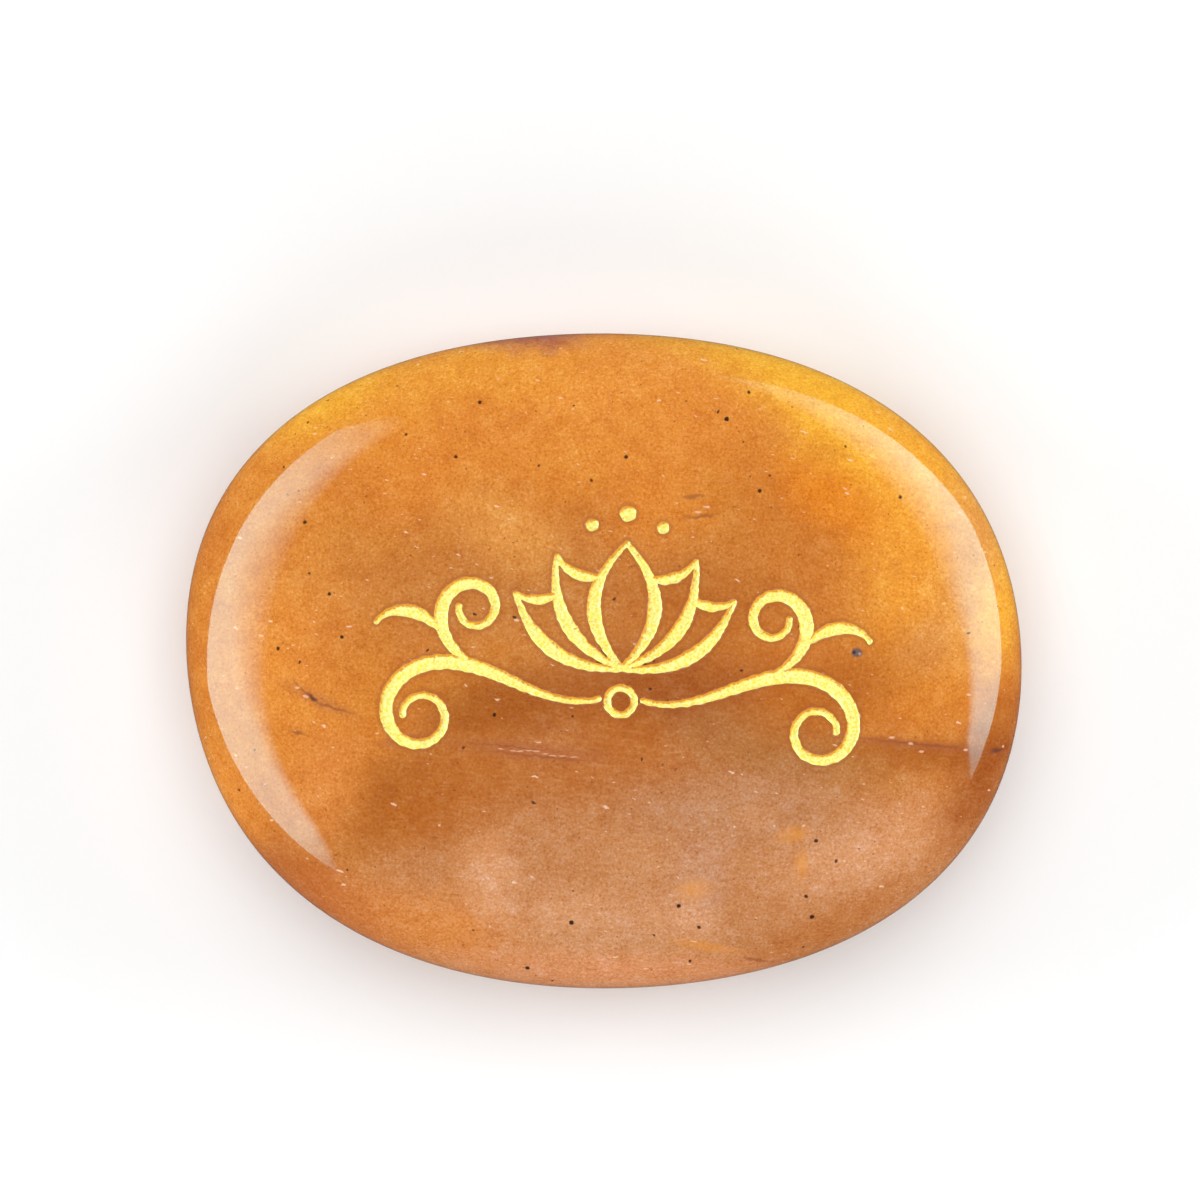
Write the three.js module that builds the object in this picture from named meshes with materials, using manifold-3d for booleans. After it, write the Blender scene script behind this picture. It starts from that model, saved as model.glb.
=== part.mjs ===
// An oval worry stone: one polished pebble of honey-coloured quartz with a lotus and two scrolls engraved
// in its upper face, and gold paint in the engraved lines. Millimetres, +Z up out of the engraved face,
// +X along the stone. The origin is the middle of the stone's box, on the surface that it rests on.
import * as THREE from 'three';
import { mergeVertices } from 'three/addons/utils/BufferGeometryUtils.js';
import Module from 'manifold-3d';

const wasm = await Module();
wasm.setup();

// The stone
const LENGTH = 60;
const WIDTH = 47;
const THICKNESS = 15;
const GIRDLE_HEIGHT = 7.4;    // the widest line round the stone, above the surface that it rests on
const FLAT_SHARE = 0.29;      // the flat spot under the stone, as a share of its outline
const CURVE_POWER = 2.4;      // 2 gives an ellipsoid, and more gives flatter faces and a rounder rim
const OUTLINE_WAVES = [       // how far the outline leaves an ellipse: waves round it, cosine and sine shares
  [3, 0.0001, 0.0046],
  [4, -0.0164, -0.0062],
];
const SEGMENTS = 60;
const TOP_RINGS = 7;
const UNDER_RINGS = 6;

// The engraving and the gold paint in it
const ORNAMENT_AT = new THREE.Vector2(1.3, 2.6);
const ENGRAVING_DEPTH = 0.35;
const PAINT_LEVEL = 0.1;      // the paint's face, below the face of the stone
const PAINT_GAP = 0.03;       // between the paint and the walls and floor of its groove
const BLANK_LOW = 9;          // the heights that the ornament's upright prisms run between
const BLANK_HIGH = 16;
const STROKE_STEP = 1.3;      // between the points of a stroke, where it is nearly straight
const STROKE_TURN = 24;       // degrees between the points of a stroke, where it curls
const ARC_STEPS = 5;          // the fewest steps in an arc
const FINE_STEPS = 600;       // the steps that a flourish is walked in
const CAP_STEPS = 3;          // points round half of a stroke's end
const ROUND_STEPS = 16;       // points round a ring or a bead

const stonePaint = new THREE.MeshStandardMaterial({ color: 0xd6862f, roughness: 0.12, metalness: 0 });
const goldPaint = new THREE.MeshStandardMaterial({ color: 0xf0cd4e, roughness: 0.42, metalness: 0.85 });

// The outline

// A point of the outline before it is sized, with the waves let in by share
function rawOutline(angle, share = 1) {
  let reach = 1;
  for (const [count, cosine, sine] of OUTLINE_WAVES) {
    reach += share * (cosine * Math.cos(count * angle) + sine * Math.sin(count * angle));
  }
  return new THREE.Vector2(reach * Math.cos(angle), reach * Math.sin(angle));
}

const rawBox = new THREE.Box2();
for (let degree = 0; degree < 360; degree += 0.5) {
  rawBox.expandByPoint(rawOutline(THREE.MathUtils.degToRad(degree)));
}
const rawSize = rawBox.getSize(new THREE.Vector2());
const rawMiddle = rawBox.getCenter(new THREE.Vector2());

// A point at a share of the way from the middle to the outline. The waves fade out towards the middle.
function planPoint(angle, share) {
  const raw = rawOutline(angle, share * share).multiplyScalar(share);
  const shift = rawMiddle.clone().multiplyScalar(share * share);
  return new THREE.Vector2(
    (raw.x - shift.x) * LENGTH / rawSize.x,
    (raw.y - shift.y) * WIDTH / rawSize.y,
  );
}

// Solids

// Turns a closed geometry into a manifold solid
function solid(geometry) {
  const bare = geometry.clone();
  bare.deleteAttribute('normal');
  bare.deleteAttribute('uv');
  const merged = mergeVertices(bare, 1e-5);
  const mesh = new wasm.Mesh({
    numProp: 3,
    vertProperties: new Float32Array(merged.attributes.position.array),
    triVerts: new Uint32Array(merged.index.array),
  });
  return new wasm.Manifold(mesh);
}

// Turns a manifold solid into a named mesh
function meshOf(body, name, material) {
  const { vertProperties, triVerts } = body.getMesh();
  const geometry = new THREE.BufferGeometry();
  geometry.setAttribute('position', new THREE.BufferAttribute(new Float32Array(vertProperties), 3));
  geometry.setIndex(new THREE.BufferAttribute(new Uint32Array(triVerts), 1));
  geometry.computeVertexNormals();
  const mesh = new THREE.Mesh(geometry, material);
  mesh.name = name;
  return mesh;
}

// The pebble as rings from the top of the dome, over the girdle, to the flat spot under it. A ring at
// share s of the outline lies (1 - s^p)^(1/p) of the dome above or below the girdle.
function pebbleGeometry(lowered = 0) {
  const fall = (share) => (1 - share ** CURVE_POWER) ** (1 / CURVE_POWER);
  const shareAt = (part) => Math.sin(part * Math.PI / 2) ** (2 / CURVE_POWER);
  const crown = THICKNESS - GIRDLE_HEIGHT;
  const keel = GIRDLE_HEIGHT / fall(FLAT_SHARE);

  const rings = [];
  for (let ring = 1; ring <= TOP_RINGS; ring += 1) {
    const share = shareAt(ring / TOP_RINGS);
    rings.push({ share, height: GIRDLE_HEIGHT + crown * (ring < TOP_RINGS ? fall(share) : 0) });
  }
  const flatPart = Math.asin(FLAT_SHARE ** (CURVE_POWER / 2)) / (Math.PI / 2);
  for (let ring = 1; ring <= UNDER_RINGS; ring += 1) {
    const share = shareAt(1 - (1 - flatPart) * ring / UNDER_RINGS);
    rings.push({ share, height: ring < UNDER_RINGS ? GIRDLE_HEIGHT - keel * fall(share) : 0 });
  }

  const positions = [0, 0, THICKNESS - lowered];
  for (const { share, height } of rings) {
    for (let segment = 0; segment < SEGMENTS; segment += 1) {
      const point = planPoint(2 * Math.PI * segment / SEGMENTS, share);
      positions.push(point.x, point.y, height - lowered);
    }
  }
  positions.push(0, 0, -lowered);

  const triangles = [];
  const at = (ring, segment) => 1 + ring * SEGMENTS + segment % SEGMENTS;
  const last = positions.length / 3 - 1;
  for (let segment = 0; segment < SEGMENTS; segment += 1) {
    triangles.push(0, at(0, segment), at(0, segment + 1));
    for (let ring = 0; ring < rings.length - 1; ring += 1) {
      triangles.push(at(ring, segment), at(ring + 1, segment), at(ring + 1, segment + 1));
      triangles.push(at(ring, segment), at(ring + 1, segment + 1), at(ring, segment + 1));
    }
    triangles.push(at(rings.length - 1, segment + 1), at(rings.length - 1, segment), last);
  }
  const geometry = new THREE.BufferGeometry();
  geometry.setAttribute('position', new THREE.Float32BufferAttribute(positions, 3));
  geometry.setIndex(triangles);
  return geometry;
}

// Strokes

// A line whose curvature runs evenly from the first bend to the second, in degrees per millimetre, walked
// in fine steps. Its points are a step apart, and closer where it curls. Shares are shares of its length.
function flourish(start, heading, length, [bendStart, bendEnd]) {
  const fine = length / FINE_STEPS;
  const bendAt = (share) => THREE.MathUtils.lerp(bendStart, bendEnd, share);
  const headingAt = (share) => heading + (bendStart + bendAt(share)) / 2 * share * length;

  const places = [new THREE.Vector2(...start)];
  const efforts = [0];
  for (let index = 0; index < FINE_STEPS; index += 1) {
    const middle = (index + 0.5) / FINE_STEPS;
    const direction = THREE.MathUtils.degToRad(headingAt(middle));
    const step = new THREE.Vector2(Math.cos(direction), Math.sin(direction)).multiplyScalar(fine);
    places.push(places[index].clone().add(step));
    efforts.push(efforts[index] + fine * Math.max(1 / STROKE_STEP, Math.abs(bendAt(middle)) / STROKE_TURN));
  }
  const count = Math.ceil(efforts.at(-1));
  const picks = Array.from({ length: count }, (_, pick) => (
    efforts.findIndex((effort) => effort >= efforts.at(-1) * pick / count)
  )).concat(FINE_STEPS);
  return {
    points: picks.map((index) => places[index]),
    shares: picks.map((index) => index / FINE_STEPS),
    fork: (share) => [places[Math.round(share * FINE_STEPS)].toArray(), headingAt(share)],
  };
}

// An arc from one point to another that stands off the straight line by bulge, to its left
function arc(from, to, bulge) {
  const start = new THREE.Vector2(...from);
  const end = new THREE.Vector2(...to);
  const along = end.clone().sub(start);
  const left = new THREE.Vector2(-along.y, along.x).normalize();
  const control = start.clone().add(end).multiplyScalar(0.5).addScaledVector(left, 2 * bulge);
  const points = new THREE.QuadraticBezierCurve(start, control, end)
    .getPoints(Math.max(ARC_STEPS, Math.round(along.length() / STROKE_STEP)));
  return { points, shares: points.map((_, index) => index / (points.length - 1)) };
}

// A stroke's widths swell along its line from the first to the second at peak, and fall to the third
function stroke({ points, shares }, [first, second, third], peak = 0.5) {
  const ease = (part) => part * part * (3 - 2 * part);
  const widths = shares.map((share) => (
    share < peak
      ? THREE.MathUtils.lerp(first, second, ease(share / peak))
      : THREE.MathUtils.lerp(third, second, ease((1 - share) / (1 - peak)))
  ));
  return { points, widths };
}

// The outline of a stroke with round ends, inset all round
function strokeShape({ points, widths }, inset) {
  const radius = (index) => widths[index] / 2 - inset;
  const direction = (index) => points[Math.min(index + 1, points.length - 1)].clone()
    .sub(points[Math.max(index - 1, 0)]).angle();
  const around = (index, angle) => new THREE.Vector2(
    points[index].x + radius(index) * Math.cos(angle),
    points[index].y + radius(index) * Math.sin(angle),
  );
  const last = points.length - 1;
  const outline = [];
  for (let index = 0; index < last; index += 1) {
    outline.push(around(index, direction(index) - Math.PI / 2));
  }
  for (let step = 0; step < CAP_STEPS; step += 1) {
    outline.push(around(last, direction(last) + Math.PI * (step / CAP_STEPS - 0.5)));
  }
  for (let index = last; index > 0; index -= 1) {
    outline.push(around(index, direction(index) + Math.PI / 2));
  }
  for (let step = 0; step < CAP_STEPS; step += 1) {
    outline.push(around(0, direction(0) + Math.PI * (step / CAP_STEPS + 0.5)));
  }
  return new THREE.Shape(outline);
}

// A round dot, or a ring where it has a hole
function roundShape({ centre, outer, inner = 0 }, inset) {
  const circle = (radius) => Array.from({ length: ROUND_STEPS }, (_, step) => {
    const angle = 2 * Math.PI * step / ROUND_STEPS;
    return new THREE.Vector2(centre[0] + radius * Math.cos(angle), centre[1] + radius * Math.sin(angle));
  });
  const shape = new THREE.Shape(circle(outer - inset));
  if (inner > 0) {
    shape.holes.push(new THREE.Path(circle(inner + inset)));
  }
  return shape;
}

// An upright prism through the stone's face on a stroke, a ring or a dot
function prism(mark, inset) {
  const shape = mark.points ? strokeShape(mark, inset) : roundShape(mark, inset);
  const geometry = new THREE.ExtrudeGeometry(shape, {
    depth: BLANK_HIGH - BLANK_LOW, bevelEnabled: false, curveSegments: 1,
  });
  geometry.translate(ORNAMENT_AT.x, ORNAMENT_AT.y, BLANK_LOW);
  return solid(geometry);
}

const joined = (bodies) => bodies.reduce((whole, body) => whole.add(body));

const mirrored = ({ points, widths }) => ({
  points: points.map((point) => new THREE.Vector2(-point.x, point.y)), widths,
});

// The lotus: a pointed petal in the middle, and two more to each side that stand behind it
function lotusMarks() {
  const base = [0, -3];
  const tip = [0, 5.8];
  const sideTip = [4.9, 4.7];
  const lowTip = [7.7, 2];
  const half = [
    stroke(arc(base, tip, -2.15), [0.5, 1, 0.42], 0.45),
    stroke(arc([1.65, 3.4], sideTip, -0.55), [0.45, 0.8, 0.42], 0.4),
    stroke(arc(base, sideTip, -1.75), [0.5, 1, 0.42]),
    stroke(arc([4.7, 2.1], lowTip, -0.45), [0.45, 0.75, 0.42], 0.4),
    stroke(arc(base, lowTip, -1.75), [0.5, 1.05, 0.42], 0.55),
  ];
  return [...half, ...half.map(mirrored)];
}

// A scroll: a vine that leaves the ring, rises and curls in below, with an upper curl and a leaf on it
function scrollMarks() {
  const vine = flourish([1.55, -5.2], -16, 28.6, [12, -42.5]);
  const [curlStart, curlHeading] = vine.fork(0.305);
  const curl = flourish(curlStart, curlHeading + 8, 15.2, [6, 51]);
  const [leafStart, leafHeading] = curl.fork(0.235);
  const leaf = flourish(leafStart, leafHeading - 18, 5.6, [-6, -30]);
  return [
    stroke(vine, [0.45, 1.1, 0.5], 0.4),
    stroke(curl, [0.45, 1, 0.5], 0.35),
    stroke(leaf, [0.4, 0.95, 0.4]),
  ];
}

const MARKS = {
  gilt_lotus: lotusMarks(),
  gilt_ring: [{ centre: [0, -5.3], outer: 1.22, inner: 0.68 }],
  gilt_bead_top: [{ centre: [0, 7.9], outer: 0.58 }],
  gilt_bead_left: [{ centre: [-2.5, 7], outer: 0.45 }],
  gilt_bead_right: [{ centre: [2.5, 7], outer: 0.45 }],
  gilt_scroll_left: scrollMarks().map(mirrored),
  gilt_scroll_right: scrollMarks(),
};

// The engraving follows the dome at one depth, and the paint lies in it as a thin layer
const grooves = joined(Object.values(MARKS).flat().map((mark) => prism(mark, 0)))
  .subtract(solid(pebbleGeometry(ENGRAVING_DEPTH)));
const stone = solid(pebbleGeometry()).subtract(grooves);

const worryStone = new THREE.Group();
worryStone.name = 'worry_stone';
worryStone.add(meshOf(stone, 'stone', stonePaint));
for (const [name, marks] of Object.entries(MARKS)) {
  const paint = joined(marks.map((mark) => prism(mark, PAINT_GAP)))
    .intersect(solid(pebbleGeometry(PAINT_LEVEL)))
    .subtract(solid(pebbleGeometry(ENGRAVING_DEPTH - PAINT_GAP)));
  worryStone.add(meshOf(paint, name, goldPaint));
}

export default worryStone;
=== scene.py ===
import bpy
import numpy as np
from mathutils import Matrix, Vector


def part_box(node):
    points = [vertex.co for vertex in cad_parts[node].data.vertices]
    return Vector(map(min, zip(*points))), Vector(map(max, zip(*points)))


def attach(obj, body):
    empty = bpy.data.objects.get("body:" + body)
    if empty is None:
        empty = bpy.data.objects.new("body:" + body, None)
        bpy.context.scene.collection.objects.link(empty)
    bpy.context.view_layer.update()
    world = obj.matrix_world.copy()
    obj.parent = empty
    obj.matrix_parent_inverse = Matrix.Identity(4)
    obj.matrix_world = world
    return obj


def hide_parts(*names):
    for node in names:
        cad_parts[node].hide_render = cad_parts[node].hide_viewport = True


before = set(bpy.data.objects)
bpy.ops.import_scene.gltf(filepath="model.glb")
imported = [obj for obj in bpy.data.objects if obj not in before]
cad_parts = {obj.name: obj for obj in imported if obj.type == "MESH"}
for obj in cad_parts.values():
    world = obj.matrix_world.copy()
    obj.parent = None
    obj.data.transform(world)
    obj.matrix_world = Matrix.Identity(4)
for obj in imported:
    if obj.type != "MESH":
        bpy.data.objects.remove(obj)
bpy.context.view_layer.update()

# The camera
# It looks straight down on the engraved face from an arm's length, as the photograph was taken. The stone's
# long axis falls by a few degrees to the right of the picture, so the camera is turned by as much.
PHOTO_SIDE = 1200                        # pixels
STONE_MIDDLE_PIXEL = (603.5, 660.8)
PIXELS_PER_MM = 13.94                    # at the stone's widest line
TURN = np.radians(2.35)
CAMERA_HEIGHT = 360.0                    # above the stone's widest line
GIRDLE_HEIGHT = 7.4                      # the widest line, above the floor
SENSOR = 36.0

camera_data = bpy.data.cameras.new("camera")
camera_data.sensor_width = SENSOR
camera_data.lens = SENSOR * CAMERA_HEIGHT * PIXELS_PER_MM / PHOTO_SIDE
camera_data.clip_start = 0.01
camera = bpy.data.objects.new("camera", camera_data)
right_of_stone = (PHOTO_SIDE / 2 - STONE_MIDDLE_PIXEL[0]) / PIXELS_PER_MM
above_stone = (STONE_MIDDLE_PIXEL[1] - PHOTO_SIDE / 2) / PIXELS_PER_MM
camera.location = np.array([
    right_of_stone * np.cos(TURN) - above_stone * np.sin(TURN),
    right_of_stone * np.sin(TURN) + above_stone * np.cos(TURN),
    GIRDLE_HEIGHT + CAMERA_HEIGHT,
]) / 1000
camera.rotation_euler = (0, 0, TURN)
bpy.context.scene.collection.objects.link(camera)
bpy.context.scene.camera = camera
bpy.context.scene.view_settings.view_transform = "Standard"

# The engraved ornament
# A lotus of five pointed petals stands between two scrolls, with a ring under it and three beads over it.
# The lines swell and taper, as a graver cuts them. Each is a centre line with a half width along it.
ORNAMENT_AT = np.array([1.3, 2.6])
FINE_STEPS = 600
ARC_STEPS = 28
ROUND_STEPS = 48
CHATTER = 0.014


def arc(start, end, bulge):
    """A quadratic curve between two points that stands off their straight line by bulge, to its left."""
    start, end = np.array(start, float), np.array(end, float)
    along = end - start
    left = np.array([-along[1], along[0]]) / np.hypot(*along)
    control = (start + end) / 2 + 2 * bulge * left
    share = np.linspace(0, 1, ARC_STEPS + 1)[:, None]
    return (1 - share) ** 2 * start + 2 * share * (1 - share) * control + share ** 2 * end


def flourish(start, heading, length, bends):
    """A line whose curvature runs evenly from the first bend to the second, in degrees per millimetre:
    the heading at a share of the length is the sum of the bend up to there."""
    share = (np.arange(FINE_STEPS) + 0.5) / FINE_STEPS
    bend = bends[0] + (bends[1] - bends[0]) * share
    turn = np.radians(heading + (bends[0] + bend) / 2 * share * length)
    steps = np.stack([np.cos(turn), np.sin(turn)], 1) * length / FINE_STEPS
    return np.concatenate([[start], start + np.cumsum(steps, 0)])


def fork(line, share):
    """The place and the heading of a flourish at a share of its length, where another line leaves it."""
    at = round(share * FINE_STEPS)
    ahead = line[at + 1] - line[at - 1]
    return line[at], np.degrees(np.arctan2(ahead[1], ahead[0]))


def stroke(line, widths, peak=0.5):
    """A line and its half widths, which swell from the first width to the second at the peak, and fall to
    the third, both by the smooth step 3t^2 - 2t^3. Long lines keep every eighth of their points."""
    thinned = line[::8] if len(line) > FINE_STEPS else line
    share = np.linspace(0, 1, len(thinned))
    part = np.where(share < peak, share / peak, (1 - share) / (1 - peak))
    ends = np.where(share < peak, widths[0], widths[2])
    return thinned, (ends + (widths[1] - ends) * part * part * (3 - 2 * part)) / 2


def mirrored(strokes):
    """The same strokes on the other side of the ornament's middle line."""
    return [(line * (-1, 1), radius) for line, radius in strokes]


def bead(centre, radius):
    """A round dot, as a stroke that is hardly longer than a point."""
    return [(np.array([centre, (centre[0] + 0.001, centre[1])]), np.array([radius, radius]))]


def ring(centre, outer, inner):
    """A round stroke that closes on itself, between an inner and an outer radius."""
    angle = np.linspace(0, 2 * np.pi, ROUND_STEPS + 1)
    line = centre + (outer + inner) / 2 * np.stack([np.cos(angle), np.sin(angle)], 1)
    return [(line, np.full(len(line), (outer - inner) / 2))]


petals = [
    stroke(arc((0, -3), (0, 5.8), -2.15), (0.5, 1, 0.42), 0.45),
    stroke(arc((1.65, 3.4), (4.9, 4.7), -0.55), (0.45, 0.8, 0.42), 0.4),
    stroke(arc((0, -3), (4.9, 4.7), -1.75), (0.5, 1, 0.42)),
    stroke(arc((4.7, 2.1), (7.7, 2), -0.45), (0.45, 0.75, 0.42), 0.4),
    stroke(arc((0, -3), (7.7, 2), -1.75), (0.5, 1.05, 0.42), 0.55),
]
vine = flourish((1.55, -5.2), -16, 28.6, (12, -42.5))
curl_start, curl_heading = fork(vine, 0.305)
curl = flourish(curl_start, curl_heading + 8, 15.2, (6, 51))
leaf_start, leaf_heading = fork(curl, 0.235)
leaf = flourish(leaf_start, leaf_heading - 18, 5.6, (-6, -30))
scroll = [
    stroke(vine, (0.45, 1.1, 0.5), 0.4),
    stroke(curl, (0.45, 1, 0.5), 0.35),
    stroke(leaf, (0.4, 0.95, 0.4)),
]
gilt_marks = {
    "gilt_lotus": petals + mirrored(petals),
    "gilt_ring": ring((0, -5.3), 1.22, 0.68),
    "gilt_bead_top": bead((0, 7.9), 0.58),
    "gilt_bead_left": bead((-2.5, 7), 0.45),
    "gilt_bead_right": bead((2.5, 7), 0.45),
    "gilt_scroll_left": mirrored(scroll),
    "gilt_scroll_right": scroll,
}
gilt_marks = {
    name: [(line + ORNAMENT_AT, radius) for line, radius in strokes]
    for name, strokes in gilt_marks.items()
}
all_marks = sum(gilt_marks.values(), [])


def chatter(points):
    """How far the graver strays from its line at these points: three crossed sine waves, summed."""
    x, y = points.T
    waves = np.sin(7.1 * x + 2.3 * y) + np.sin(4.3 * y - 6.7 * x + 1.1) + np.sin(11.3 * y + 3.7 * x + 2.7)
    return CHATTER * waves


def edge_distance(points, marks):
    """Distance in the plane from points to the nearest edge of the strokes, negative inside them: the
    distance to a stroke's centre line, less its half width there, and the graver's chatter."""
    nearest = np.full(len(points), np.inf)
    for line, radius in marks:
        for start, end, first, last in zip(line, line[1:], radius, radius[1:]):
            along = end - start
            share = np.clip((points - start) @ along / (along @ along), 0, 1)
            away = points - start - share[:, None] * along
            gap = np.hypot(away[:, 0], away[:, 1]) - first - (last - first) * share
            np.minimum(nearest, gap, out=nearest)
    return nearest + chatter(points)


def moved_to_edge(points, marks):
    """Points moved onto the edge of the strokes, down the slope of edge_distance, in three steps."""
    for _ in range(3):
        value = edge_distance(points, marks)
        slope = np.stack([
            edge_distance(points + (0.002, 0), marks) - value,
            edge_distance(points + (0, 0.002), marks) - value,
        ], 1) / 0.002
        points = points - (value / (slope ** 2).sum(1))[:, None] * slope
    return points


def cut_grid(low, high, gap, marks):
    """A flat grid of points between two corners, cut along the edge of the strokes: the points nearest to
    the edge are moved onto it and their neighbours evened out, so that each triangle is inside or outside.
    Gives the points, the grid of their numbers, the triangles, and which triangles are inside."""
    columns, rows = (int(count) for count in np.ceil((high - low) / gap) + 1)
    level, upright = np.linspace(low[0], high[0], columns), np.linspace(low[1], high[1], rows)
    grid = np.stack(np.meshgrid(level, upright), -1)
    points = grid.reshape(-1, 2)
    number = np.arange(len(points)).reshape(rows, columns)
    distance = edge_distance(points, marks)

    first = np.concatenate([number[:, :-1].ravel(), number[:-1].ravel(), number[:-1, :-1].ravel()])
    second = np.concatenate([number[:, 1:].ravel(), number[1:].ravel(), number[1:, 1:].ravel()])
    crossing = distance[first] * distance[second] < 0
    first, second = first[crossing], second[crossing]
    side = np.sign(distance)
    side[np.where(abs(distance[first]) < abs(distance[second]), first, second)] = 0
    on_edge = side == 0
    points[on_edge] = moved_to_edge(points[on_edge], marks)

    near = (abs(distance) < 2.5 * gap).reshape(rows, columns)[1:-1, 1:-1, None]
    for _ in range(3):
        neighbours = (grid[1:-1, :-2] + grid[1:-1, 2:] + grid[:-2, 1:-1] + grid[2:, 1:-1]) / 4
        grid[1:-1, 1:-1] += 0.6 * near * (neighbours - grid[1:-1, 1:-1])
        points[on_edge] = moved_to_edge(points[on_edge], marks)

    corners = number[:-1, :-1], number[:-1, 1:], number[1:, 1:], number[1:, :-1]
    a, b, c, d = (corner.ravel() for corner in corners)
    triangles = np.concatenate([np.stack([a, b, c], 1), np.stack([a, c, d], 1)])
    inside = side[triangles].sum(1) < 0
    flat = np.nonzero(~side[triangles].any(1))[0]
    inside[flat] = edge_distance(points[triangles[flat]].mean(1), marks) < 0
    return points, number, triangles, inside


def rim_edges(triangles):
    """The directed edges of these triangles that no other of them shares."""
    edges = np.concatenate([triangles[:, [0, 1]], triangles[:, [1, 2]], triangles[:, [2, 0]]])
    count = edges.max() + 1
    forward, backward = edges[:, 0] * count + edges[:, 1], edges[:, 1] * count + edges[:, 0]
    return edges[~np.isin(forward, backward)]


# The stone
# A flat oval pebble of translucent yellow quartz, tumbled round and polished to a high gloss. It is one
# piece: the engraved lines are cut into its face. It lies on a small flat spot.
low, high = (np.array(corner) * 1000 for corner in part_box("stone"))
LENGTH, WIDTH, THICKNESS = high - low
FLAT_SHARE = 0.29                        # the flat spot, as a share of the outline
CURVE_POWER = 2.4                        # 2 gives an ellipsoid, and more gives flatter faces
OUTLINE_WAVES = [(3, 0.0001, 0.0046), (4, -0.0164, -0.0062)]
GROOVE_DEPTH = 0.35
GRID_GAP = 0.13
CROWN_RINGS = 28
KEEL_RINGS = 18


def reach(angle, share):
    """How far the outline goes from its middle before it is sized: 1 and the waves, let in by share."""
    waves = sum(
        cosine * np.cos(count * angle) + sine * np.sin(count * angle)
        for count, cosine, sine in OUTLINE_WAVES
    )
    return 1 + share * waves


full_turn = np.radians(np.arange(0, 360, 0.5))
raw_outline = reach(full_turn, 1) * np.array([np.cos(full_turn), np.sin(full_turn)])
raw_size = np.ptp(raw_outline, 1)
raw_middle = (raw_outline.max(1) + raw_outline.min(1)) / 2
SIZING = np.array([LENGTH, WIDTH]) / raw_size


def plan_point(angle, share):
    """The point at a share of the way from the middle to the outline. The waves fade with share squared."""
    raw = share * reach(angle, share ** 2) * np.array([np.cos(angle), np.sin(angle)])
    return (raw.T - np.multiply.outer(share ** 2, raw_middle).reshape(raw.T.shape)) * SIZING


def share_and_angle(points):
    """The share and the angle that give these points of the plan, by plan_point run backwards ten times."""
    raw = points / SIZING
    share = np.hypot(raw[:, 0], raw[:, 1])
    for _ in range(10):
        centred = raw + (share ** 2)[:, None] * raw_middle
        angle = np.arctan2(centred[:, 1], centred[:, 0])
        share = np.hypot(centred[:, 0], centred[:, 1]) / reach(angle, share ** 2)
    return share, angle


def fall(share):
    """How much of the dome's height is left at a share of the outline: (1 - share^p)^(1/p)."""
    return (1 - share ** CURVE_POWER) ** (1 / CURVE_POWER)


def crown_height(points):
    """The height of the stone's upper face over these points of the plan."""
    return GIRDLE_HEIGHT + (THICKNESS - GIRDLE_HEIGHT) * fall(share_and_angle(points)[0])


def put_in_mesh(name, points, faces, sharp=(), **measures):
    """A mesh object from points in millimetres and triangles, smooth but for the sharp pairs of points.
    Points that no face uses are dropped. Each measure becomes a value of every point."""
    used, faces = np.unique(faces, return_inverse=True)
    mesh = bpy.data.meshes.new(name)
    mesh.from_pydata(points[used] / 1000, [], faces.reshape(-1, 3))
    mesh.shade_smooth()
    for measure, values in measures.items():
        attribute = mesh.attributes.new(measure, "FLOAT", "POINT")
        attribute.data.foreach_set("value", values[used].astype(np.float32))
    if len(sharp):
        edges = np.empty(len(mesh.edges) * 2, np.int32)
        mesh.edges.foreach_get("vertices", edges)
        pairs = np.sort(used[edges.reshape(-1, 2)], 1) @ (len(points), 1)
        marked = np.isin(pairs, np.sort(sharp, 1) @ (len(points), 1))
        mesh.attributes.new("sharp_edge", "BOOLEAN", "EDGE").data.foreach_set("value", marked)
    piece = bpy.data.objects.new(name, mesh)
    bpy.context.scene.collection.objects.link(piece)
    return piece


ornament_points = np.concatenate([line for line, _ in all_marks])
PATCH_MARGIN = 1.5                       # between the ornament and the edge of the fine grid
plan, number, triangles, in_groove = cut_grid(
    ornament_points.min(0) - PATCH_MARGIN, ornament_points.max(0) + PATCH_MARGIN, GRID_GAP, all_marks,
)
patch = np.column_stack([plan, crown_height(plan)])

# From the edge of the fine grid, rings run out to the girdle and on under it to the flat spot.
border = np.concatenate([number[0, :-1], number[:-1, -1], number[-1, :0:-1], number[:0:-1, 0]])
border_share, border_angle = share_and_angle(plan[border])
border_part = np.arcsin(border_share ** (CURVE_POWER / 2)) / (np.pi / 2)
flat_part = np.arcsin(FLAT_SHARE ** (CURVE_POWER / 2)) / (np.pi / 2)
outward = np.arange(1, CROWN_RINGS + 1)[:, None] / CROWN_RINGS
inward = np.arange(1, KEEL_RINGS + 1)[:, None] / KEEL_RINGS
parts = np.concatenate([
    border_part + (1 - border_part) * outward,
    np.broadcast_to(1 - (1 - flat_part) * inward, (KEEL_RINGS, len(border))),
])
shares = np.minimum(np.sin(parts * np.pi / 2) ** (2 / CURVE_POWER), 1)
keel = GIRDLE_HEIGHT / fall(FLAT_SHARE)
heights = GIRDLE_HEIGHT + fall(shares) * np.where(
    np.arange(len(shares))[:, None] < CROWN_RINGS, THICKNESS - GIRDLE_HEIGHT, -keel,
)
ring_plan = plan_point(np.tile(border_angle, len(shares)), shares.ravel())
rings = np.column_stack([ring_plan, heights.ravel()])

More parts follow.
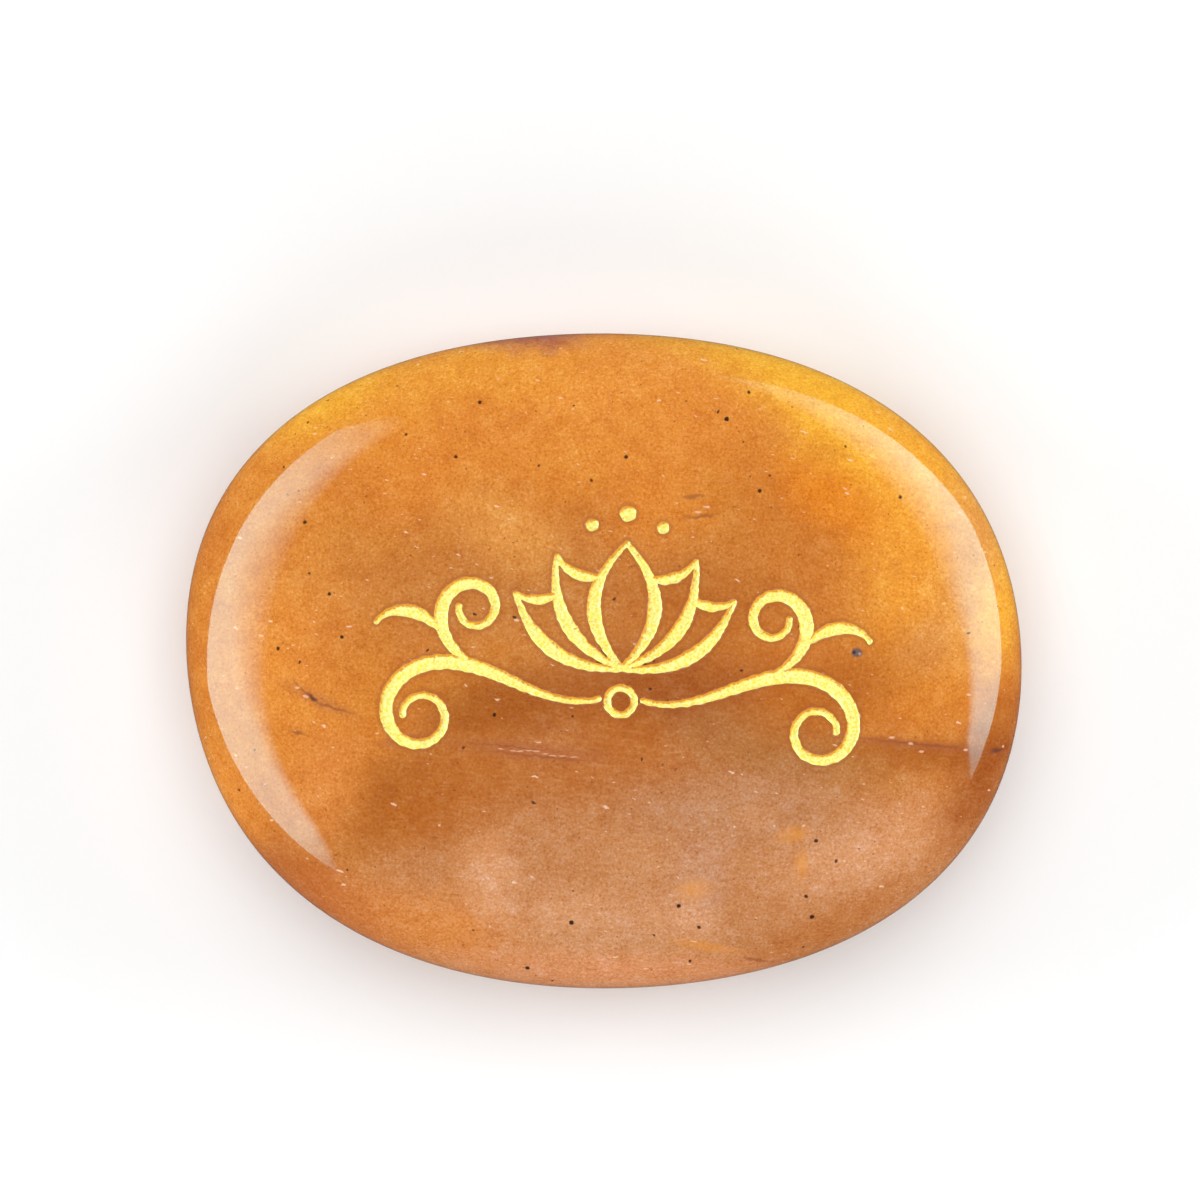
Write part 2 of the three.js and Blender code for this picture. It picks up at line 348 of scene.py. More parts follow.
ring_number = len(patch) + np.arange(len(rings)).reshape(shares.shape)
ring_number = np.vstack([border, ring_number])
middle_below = len(patch) + len(rings)
inner, outer = ring_number[:-1].ravel(), ring_number[1:].ravel()
inner_next, outer_next = (np.roll(side, -1, 1).ravel() for side in (ring_number[:-1], ring_number[1:]))
last_ring = ring_number[-1]
flat_spot = np.stack([np.roll(last_ring, -1), last_ring, np.full(len(border), middle_below)], 1)

# The groove floors lie one depth lower. Their edge points are doubled, and upright walls join the two.
groove_edges = rim_edges(triangles[~in_groove])
groove_edges = groove_edges[np.isin(groove_edges[:, 0], triangles[in_groove])]
groove_edges = groove_edges[np.isin(groove_edges[:, 1], triangles[in_groove])]
lowered = middle_below + 1 + np.arange(len(patch))
points = np.concatenate([patch, rings, [(0, 0, 0)], patch - (0, 0, GROOVE_DEPTH)])
start, end = groove_edges.T
faces = np.concatenate([
    triangles[~in_groove],
    lowered[triangles[in_groove]],
    np.stack([start, lowered[start], lowered[end]], 1),
    np.stack([start, lowered[end], end], 1),
    np.stack([inner, outer, outer_next], 1),
    np.stack([inner, outer_next, inner_next], 1),
    flat_spot,
])
EDGE_REACH = 1.0                         # how far from the engraving its distance is kept
edge_gap = np.full(len(points), EDGE_REACH)
edge_gap[:len(patch)] = np.clip(edge_distance(plan, all_marks), 0, EDGE_REACH)
edge_gap[middle_below + 1:] = 0
sharp_edges = np.concatenate([groove_edges, lowered[groove_edges]])
stone = put_in_mesh("stone_polished", points, faces, sharp_edges, edge_gap=edge_gap)


class Value:
    """A value of a finish. Sums, products and quotients of values add Math nodes."""

    def __init__(self, finish, socket):
        self.finish = finish
        self.socket = socket

    def join(self, operation, first, second):
        return self.finish.node("Math", {"operation": operation}, {0: first, 1: second})

    def __add__(self, other):
        return self.join("ADD", self, other)

    def __sub__(self, other):
        return self.join("SUBTRACT", self, other)

    def __rsub__(self, other):
        return self.join("SUBTRACT", other, self)

    def __mul__(self, other):
        return self.join("MULTIPLY", self, other)

    def __truediv__(self, other):
        return self.join("DIVIDE", self, other)

    def minimum(self, other):
        return self.join("MINIMUM", self, other)

    __radd__ = __add__
    __rmul__ = __mul__


class Finish:
    """A node material for one finish of the object."""

    def __init__(self, name):
        self.material = bpy.data.materials.new(name)
        self.material.use_nodes = True
        self.nodes = self.material.node_tree.nodes
        self.links = self.material.node_tree.links
        self.shader = self.nodes["Principled BSDF"]
        place = self.node("TexCoord", output="Object")
        self.place = self.node("VectorMath", {"operation": "SCALE"}, {0: place, "Scale": 1000.0})

    def node(self, kind, settings=None, sockets=None, output=0):
        """Adds a node, gives it its settings and then the values or links of its sockets."""
        node = self.nodes.new("ShaderNode" + kind)
        for name, value in (settings or {}).items():
            setattr(node, name, value)
        for name, value in (sockets or {}).items():
            self.feed(node.inputs[name], value)
        return Value(self, node.outputs[output])

    def feed(self, socket, value):
        """Sets a socket to a plain value, or links it."""
        if isinstance(value, Value):
            self.links.new(value.socket, socket)
        else:
            socket.default_value = value

    def noise(self, vector, scale, detail=2.0, roughness=0.5):
        """Cloudy noise around 0.5, with scale bumps to the millimetre."""
        return self.node("TexNoise", {}, {"Vector": vector, "Scale": scale, "Detail": detail,
                                          "Roughness": roughness})

    def ramp(self, value, start, end, top=1.0):
        """A smooth step from 0 at start to the top at end."""
        return self.node("MapRange", {"interpolation_type": "SMOOTHSTEP"},
                         {"Value": value, "From Min": start, "From Max": end, "To Max": top})

    def stretched(self, vector, size, turn=0.0, centre=(0, 0)):
        """The vector seen from a centre, turned by degrees, in shares of a length, width and depth."""
        return self.node("Mapping", {"vector_type": "TEXTURE"}, {
            "Vector": vector, "Location": (*centre, 0), "Rotation": (0, 0, np.radians(turn)),
            "Scale": size,
        })

    def from_middle(self, vector, centre, size, turn):
        """The distance from the middle of an oval, in shares of its size. It goes on through the stone."""
        seen = self.stretched(vector, (*size, 1000), turn, centre)
        return self.node("VectorMath", {"operation": "LENGTH"}, {0: seen}, "Value")

    def inside(self, distance, strength, softness):
        """The strength in the middle of ovals, and 0 outside. The soft edge is a share of their size."""
        return self.ramp(distance, 1 + softness, 1 - softness, strength)

    def blend(self, share, first, second):
        """A colour between two colours."""
        return self.node("Mix", {"data_type": "RGBA"}, {0: share, 6: first, 7: second}, 2)


def paint(red, green, blue):
    """A colour from its 8-bit values, as the shader wants it."""
    encoded = np.array([red, green, blue]) / 255
    linear = np.where(encoded > 0.04045, ((encoded + 0.055) / 1.055) ** 2.4, encoded / 12.92)
    return (*linear, 1.0)


# The colours of the stone: honey yellow above and a clouded, milky half below, with a brown band where they
# meet. Every cloud is a soft oval laid over what is under it: its colour, strength, middle, half length and
# half width, and its turn in degrees. The yellow and golden ovals along the rim are the stone's yellow with
# a painted glow of light shining through the thin edge.
# Yellow and golden are laid only along the rim: the stone's yellow brightened by a painted glow of light
# shining through the thin edge.
YELLOW_RIM_GLOW = paint(252, 184, 52)
GOLDEN_RIM_GLOW = paint(240, 160, 54)
HONEY = paint(235, 150, 60)
STRAW = paint(227, 155, 73)
AMBER = paint(224, 137, 50)
ORANGE = paint(228, 132, 28)
APRICOT = paint(220, 136, 62)
OCHRE = paint(202, 120, 44)
CARAMEL = paint(192, 122, 58)
RUSSET = paint(181, 101, 32)
RUST = paint(182, 88, 32)
BROWN = paint(165, 88, 24)
# Dark brown: the stone's brown band, and also painted shade along the right rim.
DARK_BROWN_AND_RIM_SHADE = paint(153, 75, 20)
UMBER = paint(164, 110, 60)
PLUM = paint(166, 90, 84)
TAN = paint(204, 133, 72)
CLAY = paint(188, 131, 87)
SAND = paint(204, 143, 94)
PEACH = paint(223, 162, 114)
MIST = paint(200, 154, 124)
BISQUE = paint(226, 149, 96)
MILKY = paint(193, 129, 79)
DEEP_CLOUD = paint(205, 119, 43)
LIGHT_CLOUD = paint(215, 134, 48)
SOFTNESS = 0.8                           # how soft a cloud's edge is, as a share of its size
SPAN = 60                                # of the curve where the milky half begins, along x and y
BOUNDARY = [
    (-30, -19), (-21, -14.5), (-15, -9), (-10.5, -4), (-3, 0.5), (7, 1), (12.5, -2.5), (19, -5), (30, -5.5),
]
clouds_under = [
    (HONEY, 0.9, (0, 21), (26, 6), 0),
    # Painted glow: these yellow and golden ovals along the upper and right rim stand for light shining
    # through the thin edge, over the stone's yellow.
    (GOLDEN_RIM_GLOW, 0.9, (-14, 18.5), (12, 3.2), 22),
    (YELLOW_RIM_GLOW, 1.0, (18.5, 17), (12, 3.8), -42),
    (GOLDEN_RIM_GLOW, 0.8, (22, 8), (4, 9), 10),
    (HONEY, 0.7, (-23, 1), (4, 9), 0),
    (AMBER, 0.7, (-12, 14.5), (9, 3.6), 5),
    (AMBER, 0.7, (7.5, 16.5), (4.5, 2.6), -20),
    (OCHRE, 0.7, (10.5, 10), (6, 5), -30),
    (CARAMEL, 0.8, (-3, 4.5), (15, 5), 0),
    (AMBER, 0.6, (3, 12.5), (3, 4.5), 0),
]
clouds_over = [
    (BROWN, 0.9, (-7.5, -3.5), (4.5, 2.4), 8),
    (DARK_BROWN_AND_RIM_SHADE, 0.8, (4, -2), (7.5, 3), 5),
    (BROWN, 0.7, (-14.5, -10.5), (4.4, 2.4), 38),
    (UMBER, 0.7, (12.5, -6), (7, 2.2), -8),
    (BROWN, 0.7, (24.5, -6), (6, 1), -3),
    (RUSSET, 0.7, (-1, -8), (10, 2.2), 0),
    (TAN, 0.6, (-8, -15), (1.8, 4.2), -5),
    (PEACH, 0.6, (19, -13), (5.5, 2.6), 20),
    (MIST, 0.6, (7.5, -15.5), (1.8, 3), 0),
    (PEACH, 0.6, (-1, -18.5), (4.5, 2), 0),
    (CLAY, 0.7, (7, -10), (5, 2.2), 0),
    (SAND, 0.6, (4, -14.5), (3.2, 1.8), 0),
    (PEACH, 0.6, (7, -18.5), (2.6, 1.6), -20),
    (RUST, 0.75, (-17, -19), (6, 2), -36),
    (APRICOT, 0.8, (-10.5, -20), (6.5, 2.6), -14),
    # Painted shade: this dark oval lies along the right rim, where the stone curves away underneath.
    (DARK_BROWN_AND_RIM_SHADE, 0.8, (28.5, -7.5), (2.2, 5.6), -20),
    (RUSSET, 0.6, (16.5, -20), (7, 1.6), 30),
    (PLUM, 0.9, (-5, 22.5), (3.6, 1.2), 5),
    (RUSSET, 0.8, (-11, -11), (5.4, 2.6), 26),
    (PEACH, 0.7, (-7, -16), (1.8, 2.8), 4),
    (STRAW, 0.7, (-7, 9), (3.8, 2.1), -32),
    (RUSSET, 0.8, (16, -2), (5.6, 2.6), 24),
    (CLAY, 0.8, (13, -10), (5.5, 2.4), 0),
    (STRAW, 0.8, (26, 4), (2.6, 3.4), 0),
    (ORANGE, 0.8, (16, 12), (3.8, 2), -32),
    (SAND, 0.8, (1, -21), (5.6, 2.4), 0),
    (RUSSET, 0.7, (2, -5), (3.6, 2), -28),
    (APRICOT, 0.8, (-19, -10), (2.3, 4), 0),
    (RUSSET, 0.7, (7, 4), (5.4, 2.6), 0),
    (BISQUE, 0.8, (3, -23), (12, 1.7), 0),
    (HONEY, 0.8, (-26, -11.5), (1.8, 4), 28),
    # Painted glow: these yellow ovals at the rim stand for light shining through the thin edge, over the
    # stone's yellow.
    (YELLOW_RIM_GLOW, 0.6, (29, 4.5), (1.8, 4), -8),
    (YELLOW_RIM_GLOW, 0.85, (-19.5, 18), (5, 2), 36),
    (YELLOW_RIM_GLOW, 0.6, (8, 22.5), (7, 1.4), -10),
    (SAND, 0.6, (11.5, -10.5), (1.6, 1), 0),
    (TAN, 0.5, (23, 1.5), (1.8, 1.8), 0),
    (STRAW, 0.9, (27, 9.5), (1.6, 3.4), 26),
]

# Flaws of the stone, in ovals of one colour, strength and softness: hazes, rusty stains, and the dark
# veins and healed cracks.
HAZE = paint(166, 94, 64)
STAIN = paint(228, 148, 54)
VEIN = paint(146, 78, 48)
DARK_VEIN = paint(92, 54, 46)
flaws = [
    (HAZE, 0.4, 0.9, [
        ((-20, -3.5), (2.4, 0.45), -22), ((-5, -6.4), (4.3, 0.55), -3), ((-14.3, -6.2), (1.2, 0.35), 12),
        ((22.4, -5), (4.4, 0.3), -4),
    ]),
    (STAIN, 0.5, 0.9, [
        ((8.2, -19.9), (2, 0.3), -9), ((13.9, -11.6), (1, 0.5), 10), ((14.6, -13.7), (0.4, 0.9), 0),
        ((7, -15.8), (1.1, 0.6), 10),
    ]),
    (VEIN, 0.65, 0.8, [
        ((-20.8, -3.1), (1.1, 0.07), -38), ((-19, -4), (1.4, 0.08), -14), ((-21.3, -5.9), (0.5, 0.1), -8),
        ((-6.4, -6.2), (2.6, 0.06), -3), ((-4.2, -6.8), (3.4, 0.06), -3), ((5.9, 11.9), (0.7, 0.15), 4),
        ((6.4, 10.5), (1, 0.13), 8), ((11.8, -20.8), (1.1, 0.08), -7), ((22.4, -4.9), (4.2, 0.1), -4),
    ]),
    (DARK_VEIN, 0.8, 0.7, [((-20.4, -3.4), (0.3, 0.14), -40), ((28.2, -5.2), (0.45, 0.2), 10)]),
]

# Specks and chips: colour, strength, radius, how much longer they are than wide, and their places. Pale
# chips line the cracks, and dark specks of ore lie all over the stone. One grey inclusion, with a dark
# core, lies at the right of the ornament, and a pale dot on it is a painted glint, a painted highlight.
CHIP = paint(240, 192, 160)
ORE = paint(40, 20, 12)
INCLUSION = paint(92, 84, 84)
CORE = paint(44, 40, 48)
PAINTED_GLINT = paint(172, 166, 172)
specks = [
    (CHIP, 0.6, 0.045, 6, [
        (-6.9, -6.4), (-6.1, -6.5), (-5.6, -6.5), (-5, -6.4), (-4.5, -6.45), (-3.9, -6.6), (-3.3, -6.7),
        (-2.6, -6.7), (-1.8, -6.75), (12.8, -20.2), (13.8, -20.3),
    ]),
    (CHIP, 0.75, 0.09, 2.5, [
        (-21.5, -2.7), (-20.9, -3.3), (-13.9, -5.8), (6.8, 11.2), (6.2, 10.8), (20.5, -4.5), (21.9, -4.9),
        (22.7, -5.4), (25.9, -5.2), (28.7, -4.9),
    ]),
    (ORE, 0.95, 0.17, 1, [(8, 17.5), (6, -17), (-1.5, -18.5), (15.5, -17.5), (-4.5, -22)]),
    (ORE, 0.9, 0.14, 1, [
        (-9.5, 18), (-21.5, 9), (-7.5, -4), (-11, 14), (15.5, -12), (1, 14.5), (7.5, -18.5), (9.5, 19.5),
        (7, -21), (15, -16), (-18.5, 1), (10.5, 12.5), (-23, 0), (-19.5, 4), (20.5, 12.5),
    ]),
    (INCLUSION, 0.85, 0.32, 1.2, [(17.8, 1.4)]),
    (CORE, 0.8, 0.13, 1, [(17.6, 1.4)]),
    # A painted highlight: the glint on the inclusion is a pale dot in the colour.
    (PAINTED_GLINT, 0.7, 0.1, 1.2, [(18, 1.3)]),
]

quartz = Finish("honey_quartz")
place = quartz.place


def axes(vector):
    """The three numbers of a vector."""
    x = quartz.node("SeparateXYZ", {}, {0: vector})
    return x, Value(quartz, x.socket.node.outputs["Y"]), Value(quartz, x.socket.node.outputs["Z"])


def shifted(vector, scale, amount, detail=2.0):
    """The vector pushed about by a cloudy noise, by up to about half the amount each way."""
    push = quartz.node("TexNoise", {}, {"Vector": vector, "Scale": scale, "Detail": detail}, "Color")
    centred = quartz.node("VectorMath", {"operation": "SUBTRACT"}, {0: push, 1: (0.5, 0.5, 0.5)})
    sockets = {0: centred, 1: (amount,) * 3, 2: vector}
    return quartz.node("VectorMath", {"operation": "MULTIPLY_ADD"}, sockets)


# The clouds slant through the stone, and every edge is frayed by a noise: broadly for the clouds, more
# finely for the wisps, the flaws and the specks.
depth = THICKNESS - axes(place)[2]
slant = quartz.node("CombineXYZ", {}, {"X": 0.22 * depth, "Y": -0.16 * depth})
inner = quartz.node("VectorMath", {"operation": "ADD"}, {0: place, 1: slant})
cloudy = shifted(inner, 0.16, 6.0, 3.0)
wispy = shifted(inner, 0.6, 1.8, 3.0)
frayed = shifted(place, 1.6, 0.5, 2.0)
pitted = shifted(place, 2.5, 0.15, 1.0)

clouds = quartz.noise(cloudy, 0.11, 4.0, 0.55)
colour = quartz.blend(quartz.ramp(clouds, 0.36, 0.66), DEEP_CLOUD, LIGHT_CLOUD)
for tint, strength, *oval in clouds_under:
    cloud = quartz.inside(quartz.from_middle(cloudy, *oval), strength, SOFTNESS)
    colour = quartz.blend(cloud, colour, tint)

cloudy_x, cloudy_y, _ = axes(cloudy)
boundary = quartz.node("FloatCurve", {}, {"Value": cloudy_x / SPAN + 0.5})
curve = boundary.socket.node.mapping
knots = curve.curves[0].points
for _ in BOUNDARY[2:]:
    knots.new(0.5, 0.5)
for knot, (x, y) in zip(knots, BOUNDARY):
    knot.location = (x / SPAN + 0.5, y / SPAN + 0.5)
curve.update()
below = (boundary - 0.5) * SPAN - cloudy_y
milk = quartz.ramp(below, -2.0, 10.0, 0.95)
band = quartz.ramp(below, -3.0, 2.5) * quartz.ramp(below, 8.0, 2.0, 0.5)
colour = quartz.blend(milk, colour, MILKY)
colour = quartz.blend(band, colour, CARAMEL)
for tint, strength, *oval in clouds_over:
    cloud = quartz.inside(quartz.from_middle(wispy, *oval), strength, SOFTNESS)
    colour = quartz.blend(cloud, colour, tint)

# The grain of the quartz: fine darker and paler crystals, faint clouds a millimetre or two across, faint
# level streaks that are stronger in the milky half, and pale and dark dots strewn over it.
PALER = (1.26, 1.76, 3.1)                # how red, green and blue change in a paler crystal
DARKER = (0.66, 0.34, 0.04)
PALE_STREAK = paint(238, 188, 142)
DARK_STREAK = paint(164, 96, 52)
PALE_DOT = paint(255, 222, 190)
BROWN_DOT = paint(116, 54, 26)
DARK_DOT = paint(62, 32, 20)


def toned(amount, factors):
    """The colour so far, blended by an amount with itself times three factors."""
    product = quartz.node("VectorMath", {"operation": "MULTIPLY"}, {0: colour, 1: factors})
    return quartz.blend(amount, colour, product)


grain = quartz.noise(place, 5.0, 2.0, 0.75)
colour = toned(quartz.ramp(grain, 0.5, 0.74, 0.55), DARKER)
colour = toned(quartz.ramp(grain, 0.5, 0.28, 0.5), PALER)
mottle = quartz.noise(frayed, 0.75, 2.0, 0.6)
colour = toned(quartz.ramp(mottle, 0.48, 0.72, 0.2), DARKER)
colour = toned(quartz.ramp(mottle, 0.5, 0.3, 0.17), PALER)
streaks = quartz.noise(quartz.stretched(place, (0.9, 0.22, 0.4), -3), 0.9, 2.0, 0.6)
streaked = 0.06 + 0.06 * milk
colour = quartz.blend(streaked * quartz.ramp(streaks, 0.5, 0.72), colour, PALE_STREAK)
colour = quartz.blend(streaked * quartz.ramp(streaks, 0.48, 0.28), colour, DARK_STREAK)


def dot(distance, radius, strength):
    """The strength inside a round dot, and 0 outside, with a slightly soft edge."""
    return quartz.ramp(distance, radius * 1.3, radius * 0.7, strength)


def strewn(vector, cell, radius, share, strength):
    """Dots with one place in each cell: the strength inside a dot, for the given share of the cells."""
    cells = quartz.node("TexVoronoi", {}, {"Vector": vector, "Scale": 1 / cell})
    lot, _, _ = axes(Value(quartz, cells.socket.node.outputs["Color"]))
    return dot(cells, radius / cell, strength) * quartz.ramp(lot, 1 - share, 1.001 - share)


dashed = quartz.stretched(frayed, (2.4, 0.8, 1), -10)
colour = quartz.blend(strewn(dashed, 1.2, 0.1, 0.4, 0.6), colour, PALE_DOT)
colour = quartz.blend(strewn(dashed, 0.6, 0.055, 0.35, 0.5), colour, PALE_DOT)
colour = quartz.blend(strewn(frayed, 0.9, 0.075, 0.5, 0.6), colour, BROWN_DOT)
colour = quartz.blend(strewn(frayed, 2.0, 0.11, 0.85, 0.85), colour, DARK_DOT)
FAR = 100                                # farther than any oval or speck reaches
for tint, strength, softness, ovals in flaws:
    nearest = FAR
    for oval in ovals:
        nearest = quartz.from_middle(frayed, *oval).minimum(nearest)
    colour = quartz.blend(quartz.inside(nearest, strength, softness), colour, tint)
for tint, strength, radius, longer, places in specks:
    squeeze = np.array([1 / longer, 1, 1])
    squeezed = quartz.node("VectorMath", {"operation": "MULTIPLY"}, {0: pitted, 1: squeeze})
    nearest = FAR
    for middle in np.column_stack([places, crown_height(np.array(places))]) * squeeze:
        away = quartz.node("VectorMath", {"operation": "DISTANCE"}, {0: squeezed, 1: middle}, "Value")
        nearest = away.minimum(nearest)
    colour = quartz.blend(dot(nearest, radius, strength), colour, tint)

# Along the edges of the engraving: a soft, darker and redder margin of painted shade, and a few pale chips.
GROOVE_EDGE_SHADE = paint(160, 78, 36)
EDGE_CHIP = paint(232, 164, 136)
gap = quartz.node("Attribute", {"attribute_name": "edge_gap"}, output="Fac")
# Painted shade: a darker, redder margin along the edges of the engraving.
colour = quartz.blend(quartz.ramp(gap, 0.34, 0.03, 0.42), colour, GROOVE_EDGE_SHADE)
chips = quartz.ramp(grain, 0.52, 0.6)
colour = quartz.blend(quartz.ramp(gap, 0.14, 0.05, 0.4) * chips, colour, EDGE_CHIP)

quartz.feed(quartz.shader.inputs["Base Color"], colour)
quartz.feed(quartz.shader.inputs["Roughness"], 0.05)
quartz.feed(quartz.shader.inputs["Subsurface Weight"], 0.15)
quartz.feed(quartz.shader.inputs["Subsurface Radius"], (1.0, 0.45, 0.15))
quartz.feed(quartz.shader.inputs["Subsurface Scale"], 0.0015)
stone.data.materials.append(quartz.material)
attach(stone, "root")
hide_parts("stone")

# The gold paint
# Metallic gold paint, brushed thickly into the engraved lines and wiped off the face. It dries lower than
# the face, hollow along the middle of each line and with a grainy skin.
PAINT_GAP = 0.075
PAINT_INSET = 0.006                      # between the paint and the walls of its groove
PAINT_SINK = 0.03                        # below the face, at the walls
PAINT_HOLLOW = 0.13                      # and how much more in the middle of a line
BANK = 0.17                              # how wide the paint climbs up the walls
SLOPE_STEP = 0.01                        # between two points that tell which way a wall faces
PAINT_FLOOR = 0.32                       # how deep the paint reaches
PAINT_GRAIN = 0.014

PALE_GOLD = paint(255, 255, 166)
GOLD = paint(252, 231, 80)
DEEP_GOLD = paint(244, 196, 60)
# Orange gold is painted shade on the paint at the walls of the lines.
SHADED_ORANGE_GOLD = paint(232, 150, 36)

gold = Finish("gold_paint")
flakes = gold.noise(gold.place, 5.5, 2.0, 0.65)
spots = gold.noise(gold.place, 3.2, 3.0, 0.7)
bank = gold.node("Attribute", {"attribute_name": "bank"}, output="Fac")
gilt_colour = gold.blend(gold.ramp(flakes, 0.36, 0.6), GOLD, PALE_GOLD)
gilt_colour = gold.blend(gold.ramp(spots, 0.56, 0.68, 0.5), gilt_colour, DEEP_GOLD)
# Painted shade: orange-gold along the walls of each line, strongest along its north edge.
gilt_colour = gold.blend(gold.ramp(bank + 1.6 * flakes, 1.02, 1.36, 0.95), gilt_colour, SHADED_ORANGE_GOLD)
gold.feed(gold.shader.inputs["Base Color"], gilt_colour)
gold.feed(gold.shader.inputs["Metallic"], gold.ramp(flakes, 0.4, 0.6, 0.15))
gold.feed(gold.shader.inputs["Roughness"], 0.5 - gold.ramp(spots, 0.4, 0.6, 0.2))
skin = gold.noise(gold.place, 7.0, 2.0)
rough_skin = gold.node("Bump", {}, {"Strength": 0.4, "Distance": 0.00003, "Height": skin})
gold.feed(gold.shader.inputs["Normal"], rough_skin)

lumps = np.random.default_rng(7)
for name, marks in gilt_marks.items():
    inset_marks = [(line, radius - PAINT_INSET) for line, radius in marks]
    mark_points = np.concatenate([line for line, _ in marks])
    margin = max(radius.max() for _, radius in marks) + 4 * PAINT_GAP
    plan, number, triangles, in_groove = cut_grid(
        mark_points.min(0) - margin, mark_points.max(0) + margin, PAINT_GAP, inset_marks,
    )
    from_wall = -edge_distance(plan, inset_marks)
    north = SLOPE_STEP * np.array([-0.5, 0.87])
    wall_slope = (from_wall + edge_distance(plan + north, inset_marks)) / SLOPE_STEP
    share = np.clip(from_wall / BANK, 0, 1)
    hollow = share * share * (3 - 2 * share)
    lump = lumps.normal(size=number.shape)
    lump[1:-1, 1:-1] += lump[:-2, 1:-1] + lump[2:, 1:-1] + lump[1:-1, :-2] + lump[1:-1, 2:]
    sink = PAINT_SINK + PAINT_HOLLOW * hollow + PAINT_GRAIN / 2 * hollow * lump.ravel()
    face = crown_height(plan)
    count = len(plan)
    points = np.concatenate([
        np.column_stack([plan, face - sink]), np.column_stack([plan, face - PAINT_FLOOR]),
    ])
    top = triangles[in_groove]
    edges = rim_edges(top)
    start, end = edges.T
    faces = np.concatenate([
        top, top[:, ::-1] + count,
        np.stack([start, start + count, end + count], 1), np.stack([start, end + count, end], 1),
    ])
    # How much painted shade each point of the paint gets: near the walls, and most along the north edge of
    # each line.
    north_bank = np.clip(1 - from_wall / (1.8 * BANK), 0, 1) * np.clip(0.35 + 0.65 * wall_slope, 0, 1)
    gilt = put_in_mesh(name + "_paint", points, faces, np.concatenate([edges, edges + count]),
                       bank=np.tile(north_bank, 2))
    gilt.data.materials.append(gold.material)
    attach(gilt, "root")
    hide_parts(name)

# The floor
# A plain pale sheet. The polish of the stone mirrors the pale light from below instead of this sheet.
FLOOR_SIDE = 4.0
floor_mesh = bpy.data.meshes.new("floor")
half = FLOOR_SIDE / 2
floor_corners = [(-half, -half, 0), (half, -half, 0), (half, half, 0), (-half, half, 0)]
floor_mesh.from_pydata(floor_corners, [], [(0, 1, 2, 3)])
floor = bpy.data.objects.new("floor", floor_mesh)
bpy.context.scene.collection.objects.link(floor)
pale = Finish("pale_sheet")
pale.feed(pale.shader.inputs["Base Color"], (0.93, 0.93, 0.93, 1))
pale.feed(pale.shader.inputs["Roughness"], 0.9)
floor_mesh.materials.append(pale.material)
floor.visible_glossy = False

# The light
# A large soft light stands high to the north, a smaller one lower to the south, and two more at the sides.
# Two tall soft boxes stand left and right, low enough to show only as two crescents in the polished rim.
world = bpy.data.worlds.new("studio")
world.use_nodes = True
world.node_tree.nodes["Background"].inputs["Color"].default_value = (1, 1, 1, 1)
world.node_tree.nodes["Background"].inputs["Strength"].default_value = 0.13
bpy.context.scene.world = world


def soft_light(name, place, side, power):
    """A square soft light at a place in metres that shines at the stone. Its mirror image isn't seen."""
    data = bpy.data.lights.new(name, "AREA")
    data.shape = "SQUARE"
    data.size = side
    data.energy = power
    light = bpy.data.objects.new(name, data)
    light.location = place
    light.rotation_euler = light.location.to_track_quat("Z", "Y").to_euler()
    light.visible_glossy = False
    light.visible_camera = False
    bpy.context.scene.collection.objects.link(light)


soft_light("key_light", (-0.03, 0.16, 0.5), 0.6, 2.3)
soft_light("fill_light", (0.08, -0.4, 0.22), 0.4, 1.1)
soft_light("left_light", (-0.42, 0.04, 0.14), 0.2, 0.8)
soft_light("right_light", (0.42, 0.08, 0.14), 0.2, 0.9)


BOX_DISTANCE = 300.0
BOX_COLOUR = (0.4, 0.9, 0.93, 1)
BOX_COLUMNS = 60
BOX_ROWS = 30


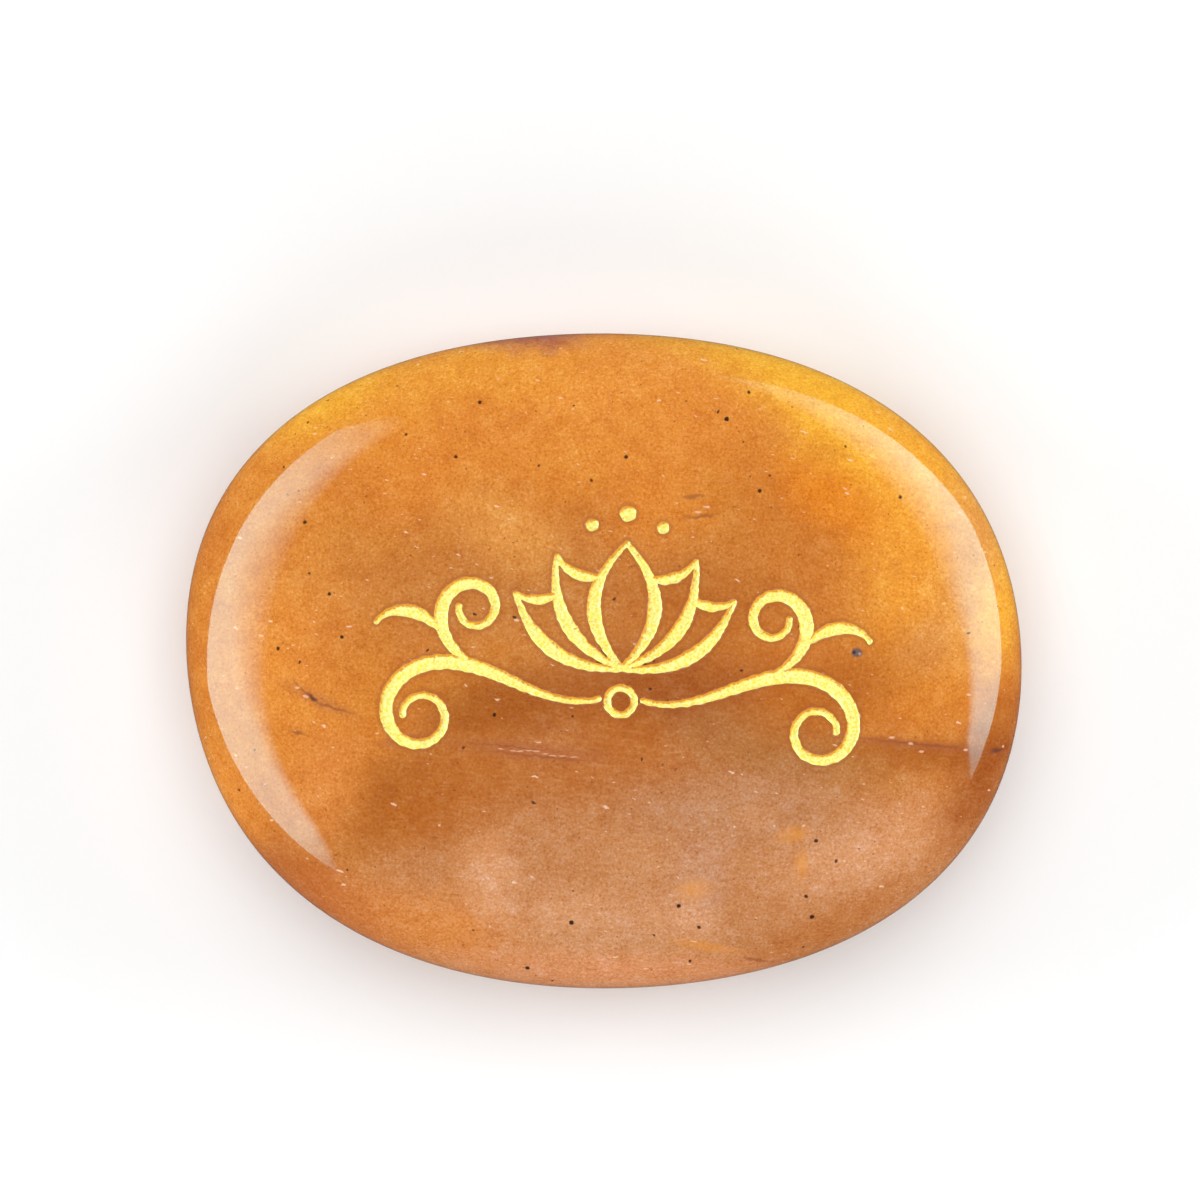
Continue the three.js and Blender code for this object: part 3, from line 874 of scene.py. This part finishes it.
def soft_box(name, facing, radiance, outline):
    """An upright, clear sheet that glows, and stands off the stone in the direction facing, in degrees.
    The outline gives, at points across it and in shares of its distance, its bottom, its top and over how
    much of its height the glow dims to 0 at the top, and then how strong the glow is."""
    across, bottom, top, soft, share = np.array(outline).T
    at = np.linspace(across[0], across[-1], BOX_COLUMNS + 1)
    rise = np.linspace(0, 1, BOX_ROWS + 1)[:, None]
    low_edge, top_edge = np.interp(at, across, bottom), np.interp(at, across, top)
    levels = low_edge + (top_edge - low_edge) * rise
    glow = np.clip((top_edge - levels) / np.interp(at, across, soft), 0, 1) * np.interp(at, across, share)
    out = np.array([np.cos(np.radians(facing)), np.sin(np.radians(facing))])
    flat = BOX_DISTANCE * (out + at[:, None] * (-out[1], out[0]))
    points = np.column_stack([np.tile(flat, (len(rise), 1)), BOX_DISTANCE * levels.ravel() + GIRDLE_HEIGHT])
    number = np.arange(len(points)).reshape(levels.shape)
    corners = number[:-1, :-1], number[:-1, 1:], number[1:, 1:], number[1:, :-1]
    a, b, c, d = (corner.ravel() for corner in corners)
    faces = np.concatenate([np.stack([a, b, c], 1), np.stack([a, c, d], 1)])
    box = put_in_mesh(name, points, faces, glow=glow.ravel())
    finish = Finish(name)
    strength = finish.node("Attribute", {"attribute_name": "glow"}, output="Fac")
    shine = finish.node("Emission", {}, {"Color": BOX_COLOUR, "Strength": radiance * strength})
    clear = finish.node("BsdfTransparent")
    surface = finish.node("AddShader", {}, {0: shine, 1: clear})
    finish.feed(finish.nodes["Material Output"].inputs["Surface"], surface)
    finish.material.cycles.emission_sampling = "NONE"
    box.data.materials.append(finish.material)
    box.visible_camera = False
    box.visible_diffuse = False
    box.visible_shadow = False


soft_box("soft_box_left", 180, 7.0, [
    (-1.85, 1.6, 2.1, 0.3, 0), (-1.25, 0.8, 1.75, 0.3, 0.45), (-0.75, 0.62, 1.53, 0.45, 0.9),
    (-0.55, 0.53, 1.44, 0.6, 1), (-0.25, 0.4, 1.35, 0.78, 1.1), (0.18, 0.11, 1.18, 0.46, 1.05),
    (0.4, 0.28, 1.15, 0.26, 1), (0.9, 0.65, 1.28, 0.14, 0.9), (1.1, 0.79, 1.24, 0.16, 0.55),
    (1.3, 0.95, 1.05, 0.1, 0.2),
])
soft_box("soft_box_right", 27, 6.9, [
    (-1.1, 0.56, 0.62, 0.06, 0.3), (-0.85, 0.44, 0.93, 0.1, 0.8), (-0.7, 0.34, 0.93, 0.17, 1.15),
    (-0.45, 0.18, 0.93, 0.18, 0.95), (-0.2, 0.1, 1, 0.34, 0.95), (0.03, 0.06, 1.02, 0.54, 0.9),
    (0.28, 0.18, 0.97, 0.6, 1.05), (0.6, 0.28, 0.95, 0.44, 0.65), (0.9, 0.41, 0.84, 0.22, 0.33),
    (1.35, 0.64, 0.75, 0.1, 0.05),
])
